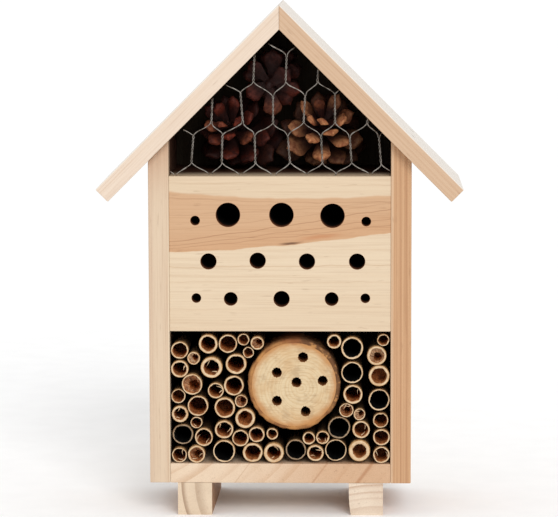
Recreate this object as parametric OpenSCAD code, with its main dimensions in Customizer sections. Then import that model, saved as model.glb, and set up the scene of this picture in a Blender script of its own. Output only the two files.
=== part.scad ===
// Insect hotel: a small gabled wooden house on two battens.
// An attic of pine cones behind hexagonal netting, a drilled block and a bay of
// bamboo canes around a drilled log. Millimetres, +Z up, the front faces -Y, the
// origin is on the ground under the middle of the roof.

/* [House] */
// Width over the two side panels
body_w = 160; // [140:1:200]
// Depth of the side panels
panel_d = 80; // [70:1:110]
// Thickness of the side panels
side_t = 12.5; // [9:0.5:16]
// Thickness of the bottom board
bottom_t = 12; // [9:0.5:16]
// Thickness of the plywood back
back_t = 5; // [3:0.5:8]

/* [Feet] */
// Height of the battens under the house
foot_h = 20; // [12:1:30]
// Width of each batten
foot_w = 21; // [15:1:28]
// Distance from the middle to the inner edge of each batten
foot_gap = 42; // [30:1:44]
// Angle by which the left batten is nailed out of square
foot_skew = 1; // [0:0.5:2]

/* [Storeys] */
// Height of the bay of canes
bay_h = 82; // [81:1:95]
// Height of the drilled block
block_h = 95; // [90:1:120]
// Depth of the drilled holes in the block
block_hole_d = 60; // [30:1:65]

/* [Roof] */
// Height of the ridge above the ground
ridge_z = 313; // [313:1:325]
// Thickness of the roof boards
roof_t = 10.5; // [8:0.5:14]
// Length of the underside of each roof board along the slope
roof_slope = 147; // [140:1:165]
// How far the roof stands out over the front
overhang = 8; // [3:1:15]

/* [Log] */
// Diameter of the log over its bark
log_dia = 58; // [50:0.5:58]
// Thickness of the bark
bark_t = 3; // [2:0.5:5]
// Diameter of the holes in the log
log_hole = 6; // [5:0.5:7]

/* [Netting] */
// Distance between the twists of the netting
mesh_pitch = 19; // [16:1:25]
// Length of each twist
twist_len = 16.3; // [12:0.1:20]
// Height of the slanting part of a mesh
slant_h = 8.3; // [6:0.1:12]
// Width of the wire
wire_w = 1; // [0.8:0.1:1.5]

/* [Pine cones] */
// Length of a cone
cone_len = 62; // [45:1:70]
// Tiers of scales on a cone
cone_tiers = 8; // [5:1:12]
// How far a cone's scales stand out from its core
scale_depth = 8; // [4:0.5:9]

/* [Hidden] */
$fn = 48;
depth = panel_d + back_t + overhang;
front_y = -depth / 2 + overhang;
inside_y = front_y + panel_d;
back_y = inside_y + back_t;
inner_x = body_w / 2 - side_t;
bay_z = foot_h + bottom_t;
block_z = bay_z + bay_h;
attic_z = block_z + block_h;
inner_ridge = ridge_z - roof_t * sqrt(2);
over = 1; // how far a cutter reaches past a face

block_y = front_y + 0.5;
foot_l = panel_d + back_t - 0.5;

log_at = [8.5, 81];
core_dia = log_dia - 2 * bark_t;
core_y = front_y + 1;
bark_y = front_y + 1.5;
log_hole_d = 45;

mesh_y = front_y + 2;
mesh_t = 1.2;
mesh_x = -5.5; // middle of a mesh in the even rows
mesh_lift = 0.4;

nail_shank = 1.4;
nail_head = 3;
head_t = 0.6;
side_nail_len = 25;
roof_nail_len = 17;
back_nail_len = 20;
foot_nail_len = 27;
foot_nail_sink = 1;
nail_rows_y = [front_y + 20, inside_y - 18];
side_nail_z = [foot_h + bottom_t / 2, block_z + 32, block_z + 58];
back_nail_z = [50, 120, 190];
back_nail_x = 30; // the two nails into the bottom board
panel_mid_x = body_w / 2 - side_t / 2;

// Drilled block: [x, height above the block's lower face, diameter]
BLOCK_HOLES = [
    [-51.5, 68, 5.5], [-31.5, 71.5, 14.5], [1, 71.5, 14.5], [32, 71, 14.5], [52.5, 67.5, 5.5],
    [-43.5, 43, 9.5], [-13.5, 43.5, 9.5], [16.5, 43, 9.5], [47, 43, 9.5],
    [-51, 20.5, 5.5], [-30, 20, 8], [1, 20, 9.5], [31.5, 20, 8], [52, 20.5, 5.5]
];

// Log: [x, z] from its middle
LOG_HOLES = [[5.5, 17], [-10.5, 7.5], [1.5, 1.5], [17.5, 2.5], [-10.5, -10], [7, -16.5]];

// Canes that stand alone in their node: [x, z, outer diameter, bore, step behind the front]
CANES = [
    [-61.5, 102, 11, 8.5, 2], [-44, 106, 12, 8.5, 1], [-32, 106, 11.5, 9, 2],
    [-42, 91.5, 13.5, 9, 1], [-27, 93.5, 13, 9.5, 2], [-54, 81, 13, 10.5, 1],
    [-28.5, 80, 12.5, 9.5, 3], [-50.5, 67.5, 13, 10.5, 2], [-34, 66.5, 13, 10, 1],
    [-21.5, 60, 12.5, 8.5, 1], [-60, 49.5, 13, 10.5, 4], [-47, 48, 11.5, 9, 2],
    [-34.5, 53, 11.5, 8.5, 1], [-34.5, 39.5, 14, 11.5, 1], [-17, 38.5, 12.5, 9, 2],
    [-4, 38.5, 12.5, 8, 1], [44, 103.5, 14, 11, 2], [44, 88.5, 13.5, 11, 1],
    [60.5, 86.5, 13, 9, 1], [60.5, 71.5, 13.5, 11, 2], [36, 54, 14, 11.5, 3],
    [9.5, 40, 13, 10.5, 4], [34, 40, 13.5, 11.5, 3], [48.5, 40, 13.5, 8, 1],
    [-53, 97, 8, 5.5, 2], [-61.5, 90.5, 11, 8, 1], [-39.5, 77, 10, 7.5, 2],
    [-62.5, 73.5, 9, 7, 2], [33, 107.5, 9, 6, 2], [44.5, 75, 12, 9, 1]
];

// Thinner canes, each node holding two neighbours, in the same form
CANE_PAIRS = [
    [[-22.5, 108.5, 7.5, 5.5, 3], [-14, 106.5, 8.5, 6, 2]],
    [[-19.5, 100.5, 7, 5, 3], [-24, 70.5, 8, 6, 2]],
    [[-61.5, 62.5, 10.5, 7, 1], [-51.5, 57, 7.5, 5.5, 3]],
    [[-24.5, 47.5, 10.5, 8, 2], [-14.5, 50, 10, 7.5, 1]],
    [[-5, 50, 7.5, 5, 3], [17.5, 47.5, 8, 5.5, 2]],
    [[-62, 37, 9.5, 7.5, 1], [-51.5, 37.5, 11, 8, 1]],
    [[63, 108.5, 7.5, 5.5, 2], [59, 99, 12, 8.5, 1]],
    [[40.5, 65, 9, 7, 2], [48.5, 62.5, 7.5, 5.5, 2]],
    [[61.5, 59, 9.5, 7.5, 1], [62, 48.5, 10.5, 8, 1]],
    [[49.5, 53, 11, 8, 2], [62, 37.5, 10.5, 8, 1]],
    [[26, 48, 8.5, 6, 2], [21.5, 38.5, 10.5, 7.5, 1]]
];

// Pine cones: [x, z, diameter, step behind the netting, true where the tip faces the front]
CONES = [[-28.5, 234, 49, 8, true], [25.5, 235.2, 52, 2, true], [-3, 270, 35, 6, false]];

function numbered(stem, count) = [for (i = [1:count]) str(stem, i < 10 ? "0" : "", i)];
CANE_NAMES = numbered("cane_", len(CANES));
PAIR_NAMES = numbered("cane_pair_", len(CANE_PAIRS));
CONE_NAMES = numbered("pine_cone_", len(CONES));

// A cylinder that runs back from the plane y = from
module rod(x, z, dia, from, length) {
    translate([x, from, z])
        rotate([-90, 0, 0])
            cylinder(d = dia, h = length);
}

// Extrudes an outline drawn in x and z back from the plane y = from
module slab(from, length) {
    translate([0, from + length, 0])
        rotate([90, 0, 0])
            linear_extrude(length)
                children();
}

// A nail that points down with the top of its head at the origin
module nail(length) {
    translate([0, 0, -head_t])
        cylinder(d = nail_head, h = head_t);
    translate([0, 0, -length])
        cylinder(d = nail_shank, h = length - head_t);
}

module side_nail_set() {
    for (side = [-1, 1], y = nail_rows_y, z = side_nail_z)
        translate([side * body_w / 2, y, z])
            rotate([0, side * 90, 0])
                nail(side_nail_len);
}

module roof_nail_set() {
    for (side = [-1, 1], y = nail_rows_y)
        translate([side * panel_mid_x, y, inner_ridge - panel_mid_x])
            rotate([0, side * 45, 0])
                translate([0, 0, roof_t])
                    nail(roof_nail_len);
}

module back_nail_set() {
    for (x = [-panel_mid_x, panel_mid_x], z = back_nail_z)
        translate([x, back_y, z])
            rotate([-90, 0, 0])
                nail(back_nail_len);
    for (x = [-back_nail_x, back_nail_x])
        translate([x, back_y, foot_h + bottom_t / 2])
            rotate([-90, 0, 0])
                nail(back_nail_len);
}

module foot_nail_set() {
    for (side = [-1, 1], y = nail_rows_y)
        translate([side * (foot_gap + foot_w / 2), y, foot_nail_sink])
            rotate([180, 0, 0])
                nail(foot_nail_len);
}

module side_panel(side) {
    outer = body_w / 2;
    difference() {
        slab(front_y, panel_d)
            polygon([
                [side * inner_x, foot_h], [side * outer, foot_h],
                [side * outer, inner_ridge - outer], [side * inner_x, inner_ridge - inner_x]
            ]);
        side_nail_set();
        roof_nail_set();
        back_nail_set();
    }
}

module left_side_panel() {
    color("burlywood") side_panel(-1);
}

module right_side_panel() {
    color("tan") side_panel(1);
}

module bottom_board() {
    color("wheat")
        difference() {
            translate([-inner_x, front_y, foot_h])
                cube([2 * inner_x, panel_d, bottom_t]);
            side_nail_set();
            back_nail_set();
            foot_nail_set();
        }
}

module back_panel() {
    half = body_w / 2;
    color("moccasin")
        difference() {
            slab(inside_y, back_t)
                polygon([
                    [-half, foot_h], [half, foot_h], [half, inner_ridge - half],
                    [0, inner_ridge], [-half, inner_ridge - half]
                ]);
            back_nail_set();
        }
}

module drilled_block() {
    color("wheat")
        difference() {
            translate([-inner_x, block_y, block_z])
                cube([2 * inner_x, inside_y - block_y, block_h]);
            for (h = BLOCK_HOLES)
                rod(h[0], block_z + h[1], h[2], block_y - over, block_hole_d + over);
            side_nail_set();
        }
}

// A roof board seen from the front: mitred at the ridge, cut square at the eaves
module roof_board(side) {
    low = roof_slope / sqrt(2);
    rise = roof_t / sqrt(2);
    difference() {
        slab(front_y - overhang, depth)
            polygon([
                [0, inner_ridge], [0, ridge_z],
                [side * (low + rise), inner_ridge - low + rise], [side * low, inner_ridge - low]
            ]);
        roof_nail_set();
    }
}

module left_roof_board() {
    color("antiquewhite") roof_board(-1);
}

module right_roof_board() {
    color("burlywood") roof_board(1);
}

module foot(side, skew) {
    middle = side * (foot_gap + foot_w / 2);
    difference() {
        translate([middle, front_y, 0])
            rotate([0, 0, -skew])
                translate([-foot_w / 2, 0, 0])
                    cube([foot_w, foot_l, foot_h]);
        foot_nail_set();
        for (y = nail_rows_y)
            translate([middle, y, -over])
                cylinder(d = nail_head, h = over + foot_nail_sink);
    }
}

module left_foot() {
    color("wheat") foot(-1, foot_skew);
}

module right_foot() {
    color("antiquewhite") foot(1, 0);
}

// One mesh of the netting, smaller by half a wire all round
module mesh_cell(x, z) {
    slope = atan2(slant_h, mesh_pitch / 2);
    half_w = (mesh_pitch - wire_w) / 2;
    tip = twist_len / 2 + slant_h - wire_w / 2 / cos(slope);
    shoulder = tip - half_w * tan(slope);
    polygon([
        [x, z + tip], [x + half_w, z + shoulder], [x + half_w, z - shoulder],
        [x, z - tip], [x - half_w, z - shoulder], [x - half_w, z + shoulder]
    ]);
}

module wire_netting() {
    row_pitch = twist_len + slant_h;
    first_z = attic_z + slant_h + twist_len / 2 + mesh_lift;
    color("silver")
        slab(mesh_y, mesh_t)
            difference() {
                polygon([
                    [-inner_x, attic_z], [inner_x, attic_z], [inner_x, inner_ridge - inner_x],
                    [0, inner_ridge], [-inner_x, inner_ridge - inner_x]
                ]);
                for (row = [-1:3], column = [-4:4])
                    mesh_cell(mesh_x + mesh_pitch * (column + (row % 2 == 0 ? 0 : 0.5)),
                        first_z + row * row_pitch);
            }
}

module log_core() {
    color("navajowhite")
        difference() {
            rod(log_at[0], log_at[1], core_dia, core_y, inside_y - core_y);
            for (h = LOG_HOLES)
                rod(log_at[0] + h[0], log_at[1] + h[1], log_hole, core_y - over, log_hole_d + over);
        }
}

module log_bark() {
    color("saddlebrown")
        difference() {
            rod(log_at[0], log_at[1], log_dia, bark_y, inside_y - bark_y);
            rod(log_at[0], log_at[1], core_dia, bark_y - over, inside_y - bark_y + 2 * over);
        }
}

module side_nails() {
    color("gray") side_nail_set();
}

module roof_nails() {
    color("gray") roof_nail_set();
}

module back_nails() {
    color("gray") back_nail_set();
}

module foot_nails() {
    color("gray") foot_nail_set();
}

// A cane is a plain tube that ends against the back panel
module cane(c) {
    start = front_y + c[4];
    color("peru")
        difference() {
            rod(c[0], c[1], c[2], start, inside_y - start);
            rod(c[0], c[1], c[3], start - over, inside_y - start + 2 * over);
        }
}

// Share of a cone's widest radius at a share of its length from the base
function cone_share(t) = 0.48 + 0.52 * sin(180 * pow(t, 0.7));

// A cone stands on its base, with its scales as rings of overlapping tiers
module cone_solid(dia) {
    tier = cone_len / cone_tiers;
    teeth = [for (i = [0:cone_tiers - 1], step = [0, 0.75])
        [dia / 2 * cone_share((i + step) / cone_tiers) - (step == 0 ? scale_depth : 0), (i + step) * tier]];
    rotate_extrude()
        polygon(concat([[0, 0]], teeth, [[0, cone_len]]));
}

module pine_cone(c) {
    start = mesh_y + mesh_t + c[3];
    color("sienna")
        translate([c[0], c[4] ? start + cone_len : start, c[1]])
            rotate([c[4] ? 90 : -90, 0, 0])
                cone_solid(c[2]);
}

left_side_panel();
right_side_panel();
bottom_board();
back_panel();
drilled_block();
left_roof_board();
right_roof_board();
left_foot();
right_foot();
wire_netting();
log_core();
log_bark();
side_nails();
roof_nails();
back_nails();
foot_nails();
for (i = [0:len(CONES) - 1])
    pine_cone(CONES[i]);
for (i = [0:len(CANES) - 1])
    cane(CANES[i]);
for (i = [0:len(CANE_PAIRS) - 1], c = CANE_PAIRS[i])
    cane(c);
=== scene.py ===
import itertools
import math
import random
from math import cos, sin

import bmesh
import bpy
from mathutils import Matrix, Vector, noise


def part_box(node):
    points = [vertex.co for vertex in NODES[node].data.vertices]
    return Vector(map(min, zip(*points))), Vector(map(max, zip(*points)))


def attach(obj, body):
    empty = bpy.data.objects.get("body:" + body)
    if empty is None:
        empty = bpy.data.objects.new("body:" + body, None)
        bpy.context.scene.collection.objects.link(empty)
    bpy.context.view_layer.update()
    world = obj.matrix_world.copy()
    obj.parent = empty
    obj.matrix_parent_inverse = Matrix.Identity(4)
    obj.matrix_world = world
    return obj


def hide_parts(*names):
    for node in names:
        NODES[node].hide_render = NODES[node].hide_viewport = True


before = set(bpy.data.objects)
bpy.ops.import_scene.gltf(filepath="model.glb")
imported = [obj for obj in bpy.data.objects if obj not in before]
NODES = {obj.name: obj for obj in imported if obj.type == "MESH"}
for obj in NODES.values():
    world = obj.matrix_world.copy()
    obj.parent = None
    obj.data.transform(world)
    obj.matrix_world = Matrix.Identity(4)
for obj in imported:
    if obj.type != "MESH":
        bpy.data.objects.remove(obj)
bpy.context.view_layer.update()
MM = 0.001
X, Y, Z = Vector((1, 0, 0)), Vector((0, 1, 0)), Vector((0, 0, 1))
FRONT_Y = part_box("bottom_board")[0].y
INNER_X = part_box("drilled_block")[1].x
ATTIC_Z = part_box("drilled_block")[1].z
RIDGE_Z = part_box("right_roof_board")[1].z
ROOF_RISE = RIDGE_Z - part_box("right_roof_board")[0].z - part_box("right_roof_board")[1].x
INNER_RIDGE = RIDGE_Z - 2 * ROOF_RISE
TAU = 2 * math.pi
NAILS = ("side_nails", "roof_nails", "back_nails", "foot_nails")
PLIES = 3
# The name of the input that sets how strong a material's gloss is
GLOSS = "Specular IOR Level"


# ---- materials

# The share of the studio's light on a front face that shows a colour as it is written here
LIGHT_SHARE = 0.79


def rgb(r, g, b):
    """A colour as seen, 0 to 255, as the linear colour that the nodes take"""
    seen = [c / 255 for c in (r, g, b)]
    linear = [c / 12.92 if c <= 0.04045 else ((c + 0.055) / 1.055) ** 2.4 for c in seen]
    return [c * LIGHT_SHARE for c in linear] + [1]


class Net:
    """The nodes of one material. A socket, a number or a colour goes into any input."""

    def __init__(self, name):
        self.material = bpy.data.materials.new(name)
        self.material.use_nodes = True
        self.tree = self.material.node_tree
        self.bsdf = self.tree.nodes["Principled BSDF"]
        self.place = self.add("ShaderNodeTexCoord").outputs["Object"]
        self.x, self.y, self.z = (self.dot(self.place, axis) for axis in (X, Y, Z))
        self.depth = self.less(self.y, FRONT_Y)

    def add(self, kind, inputs=None, **settings):
        node = self.tree.nodes.new(kind)
        for key, value in settings.items():
            setattr(node, key, value)
        for key, value in (inputs or {}).items():
            self.plug(node.inputs[key], value)
        return node

    def plug(self, socket, value):
        if isinstance(value, bpy.types.NodeSocket):
            self.tree.links.new(value, socket)
        else:
            socket.default_value = value

    def math(self, operation, a, b=0.0, clamp=False):
        return self.add("ShaderNodeMath", {0: a, 1: b}, operation=operation, use_clamp=clamp).outputs[0]

    def times(self, a, b, c=1.0):
        product = self.math("MULTIPLY", a, b)
        return product if c == 1.0 else self.math("MULTIPLY", product, c)

    def plus(self, a, b):
        return self.math("ADD", a, b)

    def less(self, a, b):
        return self.math("SUBTRACT", a, b)

    def radius(self, a, b):
        """The distance of (a, b) from (0, 0)"""
        return self.math("SQRT", self.plus(self.times(a, a), self.times(b, b)))

    def lay(self, share, r, g, b, much=1.0, kind="MIX"):
        """Lays one more colour over the material's"""
        if much != 1.0:
            share = self.times(share, much)
        self.colour = self.mix(share, self.colour, rgb(r, g, b), kind)

    def dot(self, vector, direction):
        node = self.add("ShaderNodeVectorMath", {0: vector, 1: direction}, operation="DOT_PRODUCT")
        return node.outputs["Value"]

    def join(self, x, y, z):
        return self.add("ShaderNodeCombineXYZ", {0: x, 1: y, 2: z}).outputs[0]

    def noise(self, vector, scale, detail=2.0, roughness=0.5, distortion=0.0):
        inputs = {"Vector": vector, "Scale": scale, "Detail": detail, "Roughness": roughness,
                  "Distortion": distortion}
        return self.add("ShaderNodeTexNoise", inputs).outputs[0]

    def spots(self, scale, detail=2.0, roughness=0.5):
        return self.noise(self.place, scale, detail, roughness)

    def ramp(self, value, low, high, to_low=0.0, to_high=1.0):
        """Carries value smoothly from low..high to to_low..to_high"""
        inputs = {"Value": value, "From Min": low, "From Max": high, "To Min": to_low, "To Max": to_high}
        return self.add("ShaderNodeMapRange", inputs, interpolation_type="SMOOTHSTEP").outputs[0]

    def mix(self, share, a, b, kind="MIX"):
        node = self.add("ShaderNodeMix", data_type="RGBA", blend_type=kind)
        for key, value in ((0, share), (6, a), (7, b)):
            self.plug(node.inputs[key], value)
        return node.outputs[2]

    def band(self, value, middle, half, soft=0.4):
        """1 where value is within half of middle, and 0 away from it"""
        away = self.math("ABSOLUTE", self.less(value, middle))
        return self.ramp(away, half, half * soft)

    def finish(self, roughness, height=None, depth=0.0002, strength=0.5, gloss=0.5, metallic=0.0):
        self.plug(self.bsdf.inputs["Base Color"], self.colour)
        self.plug(self.bsdf.inputs["Roughness"], roughness)
        self.bsdf.inputs[GLOSS].default_value = gloss
        self.bsdf.inputs["Metallic"].default_value = metallic
        if height is not None:
            inputs = {"Height": height, "Distance": depth, "Strength": strength}
            bump = self.add("ShaderNodeBump", inputs)
            self.plug(self.bsdf.inputs["Normal"], bump.outputs[0])
        return self.material


def matt_inside(mesh, material, facing):
    """Gives the outer faces that look towards facing a copy of the material with almost no gloss"""
    inside = material.copy()
    inside.name = material.name + "_inside"
    inside.node_tree.nodes["Principled BSDF"].inputs[GLOSS].default_value = 0.03
    mesh.materials.append(inside)
    for face in mesh.polygons:
        if face.material_index == 0 and face.normal.dot(facing) > 0.9:
            face.material_index = len(mesh.materials) - 1


def wood(name, along, across, pith, pitch, early, late, figure, rings, wander=1.0):
    """Solid wood. Its growth rings run round a pith line that lies along the grain, pith and pitch
    are in mm, and figure lays on what is particular to one board."""
    net = Net(name)
    w = net.dot(net.place, along)
    u = net.dot(net.place, across)
    v = net.dot(net.place, along.cross(across))
    grain = net.join(u, v, net.times(w, 0.05))
    away = net.radius(net.less(u, pith[0] * MM), net.less(v, pith[1] * MM))
    sway = net.less(net.noise(grain, 22, 2), 0.5)
    away = net.plus(away, net.times(sway, 5 * wander * MM))
    uneven = net.noise(net.join(away, 0.3, 0.1), 0.35 / (pitch * MM), 1)
    phase = net.plus(net.math("DIVIDE", away, pitch * MM), net.times(uneven, 2.5))
    part = net.math("FRACT", phase)
    rise = net.ramp(part, 0.25, 0.93)
    ring = net.times(net.math("POWER", rise, 2.5), net.ramp(part, 1.0, 0.95))
    year = net.noise(net.join(net.math("FLOOR", phase), 0.5, 0.5), 1.7, 0)
    ring = net.times(ring, net.ramp(year, 0.35, 0.65, 0.25, 1.0))
    fibre = net.noise(net.join(u, v, net.times(w, 0.012)), 1700, 3, 0.6)
    broad = net.noise(grain, 45, 2)
    net.colour = net.mix(net.times(ring, rings), early, late)
    net.colour = net.mix(net.ramp(broad, 0.3, 0.75, 0.0, 0.22), net.colour, late)
    figure(net, w)
    net.lay(net.ramp(fibre, 0.42, 0.75, 0.0, 0.2), 190, 140, 96, kind="MULTIPLY")
    speck = net.noise(net.join(u, v, net.times(w, 0.15)), 600, 1)
    net.lay(net.ramp(speck, 0.66, 0.8, 0.0, 0.2), 160, 114, 76, kind="MULTIPLY")
    height = net.plus(fibre, net.times(ring, 0.8))
    rough = net.ramp(fibre, 0.3, 0.7, 0.5, 0.68)
    return net.finish(rough, height, 0.00012, 0.35, gloss=0.35)


def paint_inner_shade(net, face):
    """Painted shade inside the house: face is 1 on the inner face, and the painted shade grows with
    depth
    """
    # painted shade: the inner faces go dark towards the back of the house
    net.lay(net.times(net.ramp(net.depth, 0.001, 0.016, 0.0, 0.93), face), 66, 28, 18)


def paint_side_shade(net):
    """Paints shade on the side panels' inner faces"""
    paint_inner_shade(net, net.ramp(net.math("ABSOLUTE", net.x), INNER_X + 0.0004, INNER_X + 0.0001))


def roof_figure(net, w):
    """An upper face painted paler as painted light, and painted shade on the underside over the attic"""
    x = net.math("ABSOLUTE", net.x)
    level = net.plus(x, net.z)
    # painted light: the upper face painted nearly white where the light falls on it
    net.lay(net.ramp(level, RIDGE_Z - 0.0009, RIDGE_Z - 0.0002), 255, 250, 242, 0.9)
    # painted shade on the roof's underside over the attic
    under = net.times(net.ramp(level, INNER_RIDGE + 0.0005, INNER_RIDGE + 0.0002),
                      net.ramp(x, INNER_X + 0.002, INNER_X - 0.001))
    paint_inner_shade(net, under)


def left_panel_figure(net, w):
    """A darker strip along the middle of the front edge, a painted highlight along the inner edge beside
    it, and tan at the top
    """
    net.lay(net.band(net.x, -0.0795, 0.0034), 218, 190, 164, 0.5)
    # painted highlight: a pale strip along the front face's inner edge
    net.lay(net.band(net.x, -0.0674, 0.0012), 246, 228, 200, 0.6)
    net.lay(net.ramp(w, 0.188, 0.232), 202, 150, 116, 0.45)
    paint_side_shade(net)


def right_panel_figure(net, w):
    """A pale strip along the front edge's inner side, and three darker lines"""
    net.lay(net.band(net.x, 0.0679, 0.0016), 226, 192, 158, 0.7)
    for middle, half, share in ((0.0739, 0.0009, 0.45), (0.0776, 0.0013, 0.4), (0.0714, 0.0006, 0.3)):
        drift = net.plus(net.x, net.times(w, 0.004))
        net.lay(net.band(drift, middle, half, 0.1), 176, 122, 82, share)
    paint_side_shade(net)


def block_figure(net, w):
    """The tan heartwood across the block, with its darker lines and streak"""
    x = net.x
    z = net.plus(net.z, net.times(net.less(net.spots(60, 2), 0.5), 0.003))

    def curve(height, lean, bend=0.0):
        """How far a point is above the line height + lean * x + bend * x * x, all in mm"""
        bent = net.times(x, x, bend / MM)
        line = net.plus(net.times(x, lean), net.plus(bent, height * MM))
        return net.less(z, line)

    above = net.ramp(curve(166.6, 0.09, 0.00047), -0.0003, 0.0004)
    below = net.ramp(curve(195.4, -0.016, 0.0006), 0.0012, -0.0006)
    heart = net.times(above, below)
    net.lay(heart, 212, 162, 118, 0.72)
    low = net.times(heart, net.ramp(curve(180, 0.12), 0.008, -0.012))
    net.lay(low, 212, 156, 108, 0.35)
    # Each line: height in mm, lean, half its width in mm, share
    lines = ((178.2, 0.15, 0.45, 0.5), (174.2, 0.125, 0.4, 0.4), (183.5, 0.12, 0.35, 0.25),
             (171.5, 0.11, 0.4, 0.35), (188.5, 0.06, 0.35, 0.2), (193.5, -0.02, 0.5, 0.25))
    for height, lean, half, share in lines:
        line = net.band(curve(height, lean, 0.0002), 0.0, half * MM, 0.1)
        line = net.times(line, heart, share)
        net.lay(line, 158, 106, 68)
    streak = net.band(curve(167.6, 0.09, 0.0004), 0.0, 0.0009)
    streak = net.times(net.band(x, 0.0065, 0.009, 0.1), streak)
    net.lay(streak, 96, 60, 38, 0.8)
    rust = net.band(curve(169.5, 0.09, 0.0004), 0.0, 0.0022, 0.1)
    rust = net.times(net.band(x, 0.024, 0.018, 0.1), rust)
    net.lay(rust, 196, 118, 66, 0.45)
    # The faint lines of the pale wood: height in mm, lean, share
    for height, lean, share in ((154, 0.012, 0.3), (144.5, 0.0, 0.16), (204.5, -0.01, 0.14),
                                (128, 0.006, 0.14)):
        line = net.band(curve(height, lean), 0.0, 0.0005, 0.1)
        net.lay(line, 186, 140, 96, share)
    # painted shade: the block's top face in the attic darkens with depth
    attic_floor_shade = net.times(net.ramp(z, ATTIC_Z - 0.0016, ATTIC_Z - 0.0014),
                            net.ramp(net.depth, 0.004, 0.034, 0.0, 0.97))
    net.lay(attic_floor_shade, 60, 24, 12)


def bottom_figure(net, w):
    """Paler at the left, tan at the right, with two darker rings"""
    net.lay(net.ramp(net.x, -0.04, 0.045, 0.0, 0.75), 214, 168, 128)
    lean = net.less(net.x, net.times(net.less(net.z, 0.026), 0.75))
    for middle, half, share in ((0.0515, 0.0022, 0.6), (0.024, 0.0011, 0.4), (-0.0235, 0.0007, 0.3)):
        net.lay(net.band(lean, middle, half, 0.1), 184, 126, 82, share)


def foot_figure(net, w):
    """The battens' long sides are darker than their two sawn ends, partly the wood's own tone and partly
    painted shade
    """
    low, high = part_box("left_foot")
    from_end = net.math("MINIMUM", net.less(w, low.y), net.less(high.y, w))
    # partly painted shade: the long sides darkened as under the house
    net.lay(net.ramp(from_end, 0.0004, 0.0012, 0.0, 0.8), 172, 112, 64)


def drilled_wall(name, light, dark, reach):
    """The wall of a drilled hole: rough, with painted shade that darkens it with depth"""
    net = Net(name)
    grit = net.spots(900, 3)
    # painted shade: the wall runs from the light colour to the dark one with depth
    shade = net.plus(net.ramp(net.depth, 0.0, reach), net.times(grit, 0.2))
    net.colour = net.mix(shade, light, dark)
    return net.finish(net.ramp(grit, 0.3, 0.7, 0.75, 0.95), grit, 0.0002, 0.6, gloss=0.15)


def plywood():
    """A plywood panel: rotary-cut face grain that runs up, and plies that show at the edges"""
    net = Net("plywood")
    wave = net.noise(net.join(net.x, 0.2, net.times(net.z, 0.12)), 28, 3, 0.5, 0.6)
    figure = net.math("FRACT", net.times(wave, 9))
    line = net.times(net.ramp(figure, 0.2, 0.9), net.ramp(figure, 1.0, 0.93))
    fibre = net.noise(net.join(net.x, net.y, net.times(net.z, 0.02)), 1500, 3)
    net.colour = net.mix(net.times(line, 0.5), rgb(236, 212, 176), rgb(205, 165, 122))
    net.lay(net.ramp(fibre, 0.45, 0.75, 0.0, 0.4), 170, 120, 78, kind="MULTIPLY")
    low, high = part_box("back_panel")
    ply = net.math("DIVIDE", net.less(net.y, low.y), (high.y - low.y) / PLIES)
    net.lay(net.band(ply, 1.5, 0.5, 0.85), 172, 122, 78, 0.45)
    glue = net.plus(net.band(ply, 1.0, 0.08), net.band(ply, 2.0, 0.08))
    net.lay(net.math("MULTIPLY", glue, 0.6, clamp=True), 110, 72, 44)
    # painted shade: the panel's inner face painted nearly black
    net.lay(net.ramp(net.y, low.y + 0.0003, low.y + 0.0001, 0.0, 0.95), 18, 7, 4)
    return net.finish(net.ramp(fibre, 0.3, 0.7, 0.5, 0.7), fibre, 0.00015, 0.4, gloss=0.35)


def metal(name, colour, stain, roughness):
    """Zinc or steel with dull patches"""
    net = Net(name)
    patch = net.spots(420, 3, 0.6)
    fine = net.spots(2600, 2)
    net.colour = net.mix(net.ramp(patch, 0.42, 0.68), colour, stain)
    rough = net.plus(net.times(patch, 0.3), roughness)
    return net.finish(rough, fine, 0.00005, 0.4, metallic=0.55)


def cane_skin():
    """The shiny outside of a cane, with painted shade that darkens it away from its cut end"""
    net = Net("cane_skin")
    streak = net.noise(net.join(net.x, net.z, net.times(net.depth, 0.04)), 900, 2)
    net.colour = net.mix(net.ramp(streak, 0.35, 0.7), rgb(214, 172, 118), rgb(168, 118, 70))
    # painted shade: the skin goes nearly black behind the cut end
    net.lay(net.ramp(net.depth, 0.0022, 0.009, 0.0, 0.9), 46, 28, 18)
    return net.finish(net.ramp(streak, 0.3, 0.7, 0.4, 0.6), streak, 0.0001, 0.4, gloss=0.3)


def cane_rim(name, light, dark):
    """The sawn end of a cane, with its vascular bundles as fine dots"""
    net = Net(name)
    flat = net.join(net.x, net.z, 0.0)
    dots = net.add("ShaderNodeTexVoronoi", {"Vector": flat, "Scale": 1700.0}).outputs["Distance"]
    patch = net.spots(260, 3, 0.6)
    net.colour = net.mix(net.ramp(patch, 0.38, 0.7, 0.0, 0.6), light, dark)
    net.lay(net.ramp(dots, 0.25, 0.1, 0.0, 0.45), 150, 104, 64)
    return net.finish(net.ramp(patch, 0.3, 0.7, 0.6, 0.8), dots, 0.0001, 0.5, gloss=0.25)


def cane_bore(name, mouth, inside, deep, reach):
    """The wall of a cane's hollow, with painted shade that darkens it with depth"""
    net = Net(name)
    streak = net.noise(net.join(net.x, net.z, net.times(net.depth, 0.08)), 700, 3)
    blotch = net.spots(260, 3, 0.6)
    # painted shade: the mouth, inside and deep colours run from light to dark with depth
    net.colour = net.mix(net.ramp(net.depth, 0.0015, reach * 0.35), mouth, inside)
    net.colour = net.mix(net.ramp(net.depth, reach * 0.25, reach), net.colour, deep)
    net.lay(net.ramp(streak, 0.4, 0.7, 0.0, 0.5), 140, 84, 44, kind="MULTIPLY")
    net.lay(net.ramp(blotch, 0.48, 0.62, 0.0, 0.6), 120, 66, 36, kind="MULTIPLY")
    return net.finish(net.ramp(streak, 0.3, 0.7, 0.55, 0.8), streak, 0.0002, 0.6, gloss=0.25)


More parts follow.
